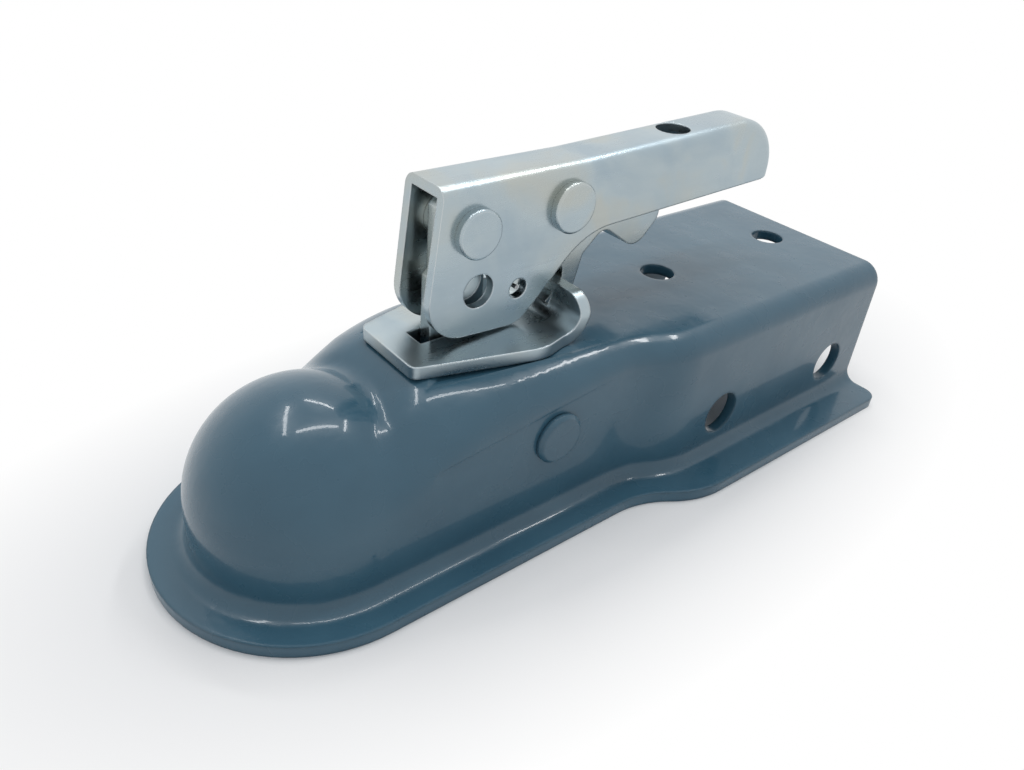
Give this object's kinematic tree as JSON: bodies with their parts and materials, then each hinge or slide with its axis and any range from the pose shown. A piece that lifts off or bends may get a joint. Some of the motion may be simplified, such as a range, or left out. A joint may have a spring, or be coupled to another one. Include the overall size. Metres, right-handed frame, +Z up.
{
  "type": "trailer coupler",
  "caption": "Straight-tongue trailer ball coupler: pressed steel shell with a domed ball socket, flanged channel for the tongue, lever latch with finger trigger and hinged ball clamp.",
  "frame": {"origin": "on the axis of the ball socket, in the plane of the flange's underside", "axes": "+X forward to the towing vehicle, +Y to the left, +Z up"},
  "size_m": [0.2258, 0.097, 0.0906],
  "materials": {
    "paint": "glossy blue-grey paint with a slight orange peel",
    "zinc": "bright zinc plating",
    "cast": "dark plated casting",
    "spring": "drawn spring wire"
  },
  "bodies": {
    "shell": {"coupler_body": "paint", "latch_plate": "zinc", "clamp_rivet": "paint", "clamp_spacers": "zinc"},
    "link": {"draw_link": "zinc"},
    "lever": {"lever": "zinc", "lever_rivet": "zinc", "link_spacers": "zinc", "trigger_rivet": "zinc", "trigger_sleeve": "zinc", "trigger_spring": "spring"},
    "trigger": {"trigger": "zinc"},
    "clamp": {"ball_clamp": "cast", "link_pin": "zinc"}
  },
  "joints": [
    {"name": "link_drop", "type": "slide", "parent": "shell", "child": "link", "axis": [0, 0, -1], "range_m": [0, 0.005]},
    {"name": "lever_lift", "type": "hinge", "parent": "link", "child": "lever", "pos_m": [-0.0414, 0, 0.077], "axis": [0, 1, 0], "range_deg": [0, 80]},
    {"name": "clamp_swing", "type": "hinge", "parent": "shell", "child": "clamp", "pos_m": [-0.0542, 0, 0.0274], "axis": [0, 1, 0], "range_deg": [0, 17]},
    {"name": "trigger_squeeze", "type": "hinge", "parent": "lever", "child": "trigger", "pos_m": [-0.0704, 0, 0.078], "axis": [0, 1, 0], "range_deg": [0, 10], "stiffness_Nm_per_rad": 0.5, "springref_deg": -17.19}
  ],
  "couplings": [
    {"joint": "link_drop", "follows": "lever_lift", "m_per_rad": 0.0035},
    {"joint": "clamp_swing", "follows": "lever_lift", "ratio": 0.2085}
  ]
}
